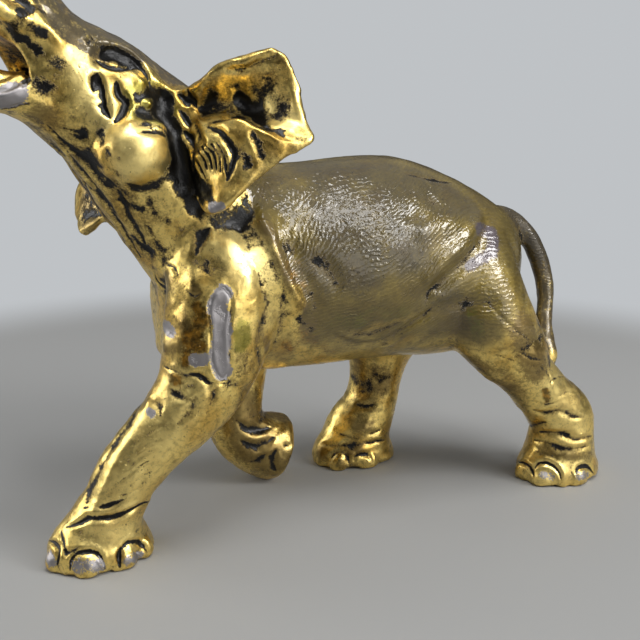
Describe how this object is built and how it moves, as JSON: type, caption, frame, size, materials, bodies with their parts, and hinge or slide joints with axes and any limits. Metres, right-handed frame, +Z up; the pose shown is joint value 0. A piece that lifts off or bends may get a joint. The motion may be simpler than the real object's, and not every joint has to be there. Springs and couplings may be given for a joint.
{
  "type": "elephant sculpture",
  "caption": "Cast brass elephant ornament, walking with its head raised, mouth open and trunk up, ears spread, standing on its own feet.",
  "frame": {"origin": "on the ground under the middle of the figure's box", "axes": "+X to the tail, so the figure walks to -X; +Y to its far side (the picture sees the -Y side); +Z up"},
  "size_m": [0.2062, 0.0818, 0.2115],
  "materials": {
    "brass": "polished cast brass under yellowed lacquer, with dark patina in the creases and on the trunk and tail"
  },
  "bodies": {
    "root": {"elephant": "brass"}
  },
  "joints": []
}
